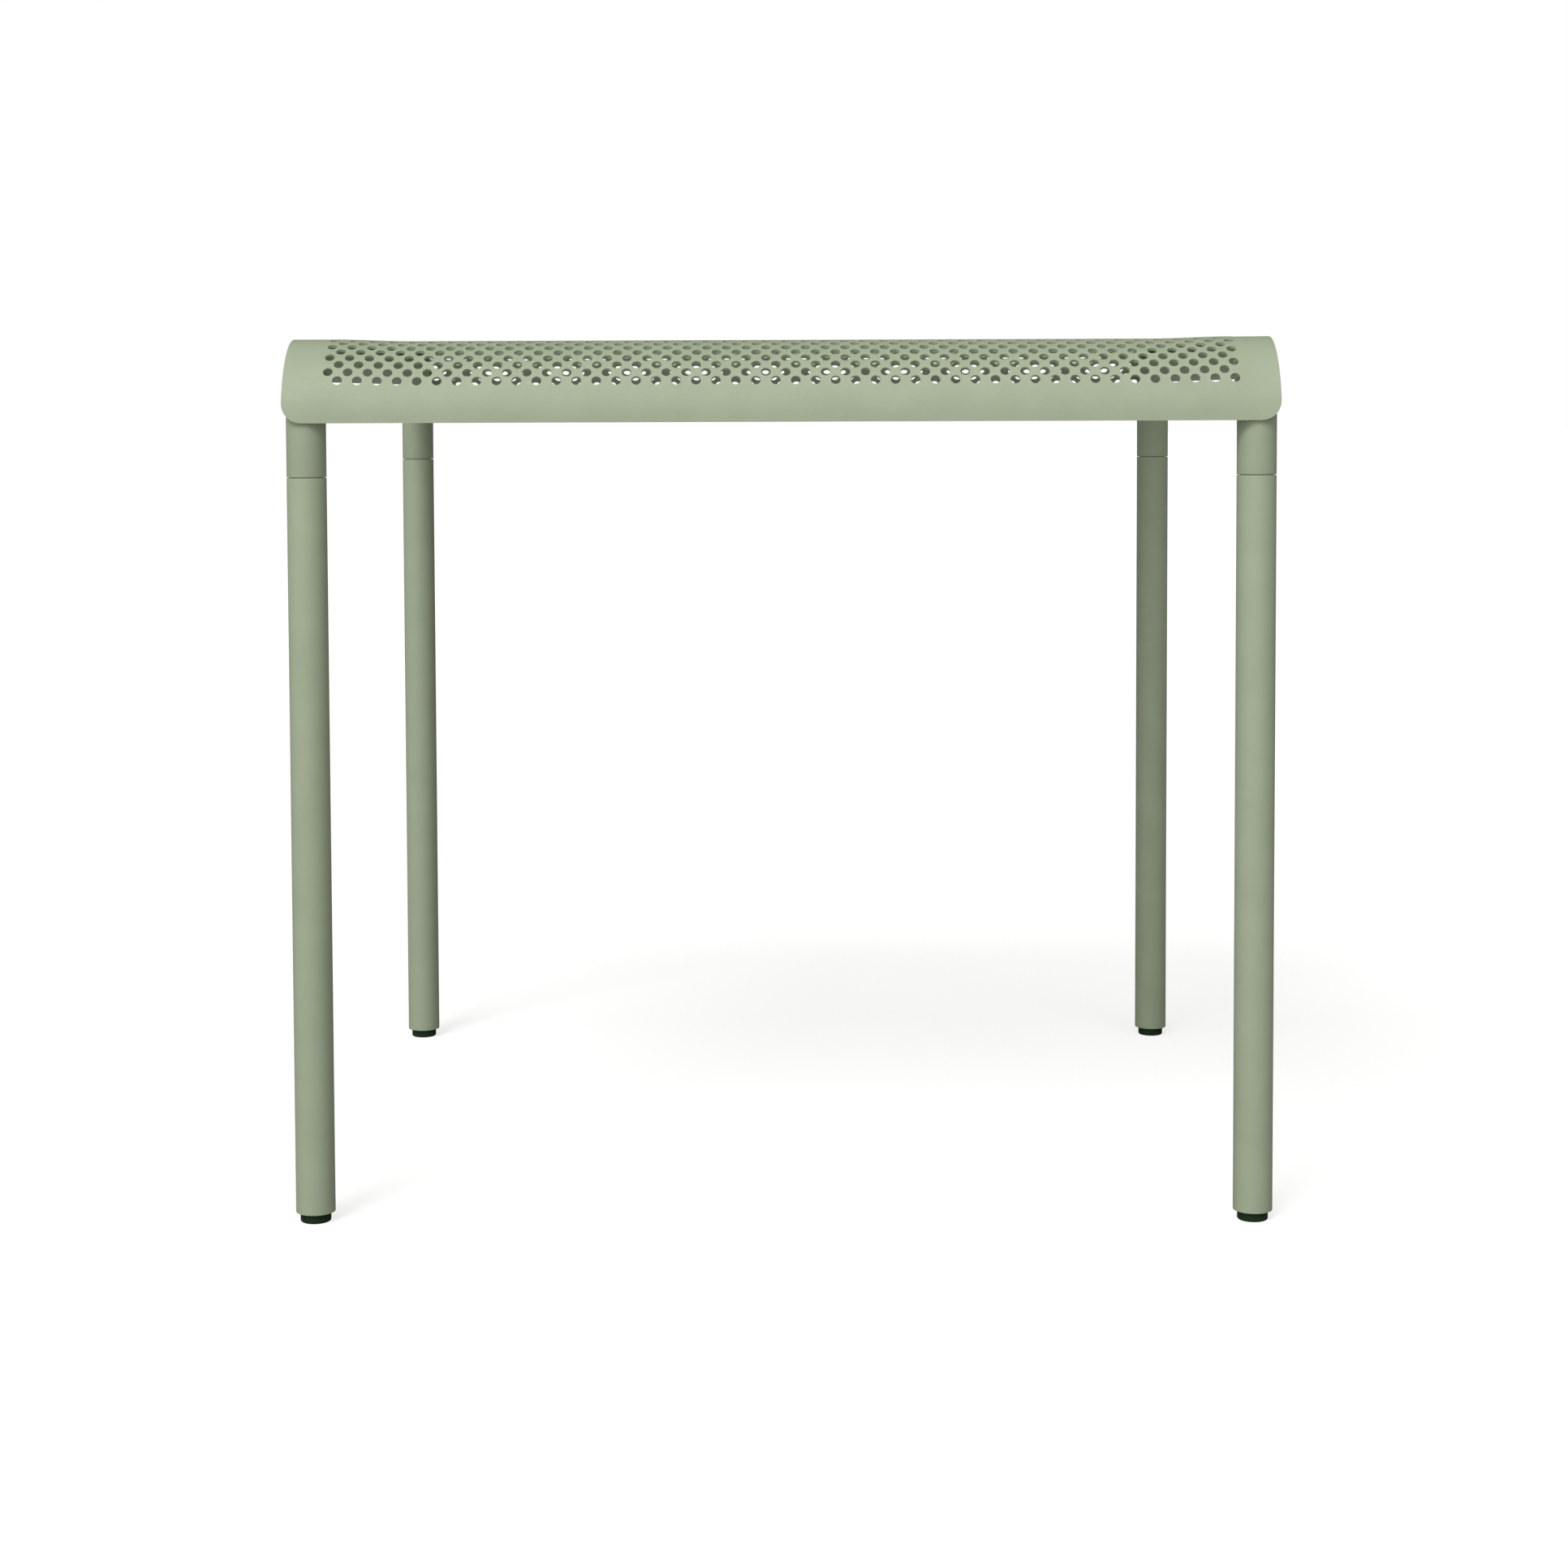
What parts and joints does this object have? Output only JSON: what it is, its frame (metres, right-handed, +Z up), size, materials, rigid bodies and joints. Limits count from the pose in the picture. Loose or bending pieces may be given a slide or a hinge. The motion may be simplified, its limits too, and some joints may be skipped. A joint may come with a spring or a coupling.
{
  "type": "backless bench",
  "caption": "Backless bench with a perforated sheet seat rolled down at front and back, on two bent tube end frames with screwed-on legs and levelling feet.",
  "frame": {"origin": "on the floor, under the middle of the bench", "axes": "+X along the width to the right, -Y to the front, +Z up"},
  "size_m": [0.5, 0.45, 0.45],
  "materials": {
    "sheet": "fine-textured matt powder coat, sage green",
    "tube": "fine-textured matt powder coat, sage green",
    "weld": "powder-coated weld bead",
    "steel": "zinc-plated",
    "rubber": "matt, very dark green"
  },
  "bodies": {
    "bench": {"seat_sheet": "sheet", "end_frame_left": "tube", "end_frame_right": "tube", "frame_socket_front_left": "steel", "joint_stud_front_left": "steel", "leg_plug_front_left": "steel", "leg_front_left": "tube", "foot_socket_front_left": "steel", "weld_bead_front_left": "weld", "frame_socket_front_right": "steel", "joint_stud_front_right": "steel", "leg_plug_front_right": "steel", "leg_front_right": "tube", "foot_socket_front_right": "steel", "weld_bead_front_right": "weld", "frame_socket_back_left": "steel", "joint_stud_back_left": "steel", "leg_plug_back_left": "steel", "leg_back_left": "tube", "foot_socket_back_left": "steel", "weld_bead_back_left": "weld", "frame_socket_back_right": "steel", "joint_stud_back_right": "steel", "leg_plug_back_right": "steel", "leg_back_right": "tube", "foot_socket_back_right": "steel", "weld_bead_back_right": "weld"},
    "foot_front_left": {"foot_pad_front_left": "rubber", "foot_stem_front_left": "steel"},
    "foot_front_right": {"foot_pad_front_right": "rubber", "foot_stem_front_right": "steel"},
    "foot_back_left": {"foot_pad_back_left": "rubber", "foot_stem_back_left": "steel"},
    "foot_back_right": {"foot_pad_back_right": "rubber", "foot_stem_back_right": "steel"}
  },
  "joints": [
    {"name": "foot_front_left_level", "type": "slide", "parent": "bench", "child": "foot_front_left", "axis": [0, 0, -1], "range_m": [0, 0.008]},
    {"name": "foot_front_right_level", "type": "slide", "parent": "bench", "child": "foot_front_right", "axis": [0, 0, -1], "range_m": [0, 0.008]},
    {"name": "foot_back_left_level", "type": "slide", "parent": "bench", "child": "foot_back_left", "axis": [0, 0, -1], "range_m": [0, 0.008]},
    {"name": "foot_back_right_level", "type": "slide", "parent": "bench", "child": "foot_back_right", "axis": [0, 0, -1], "range_m": [0, 0.008]}
  ]
}
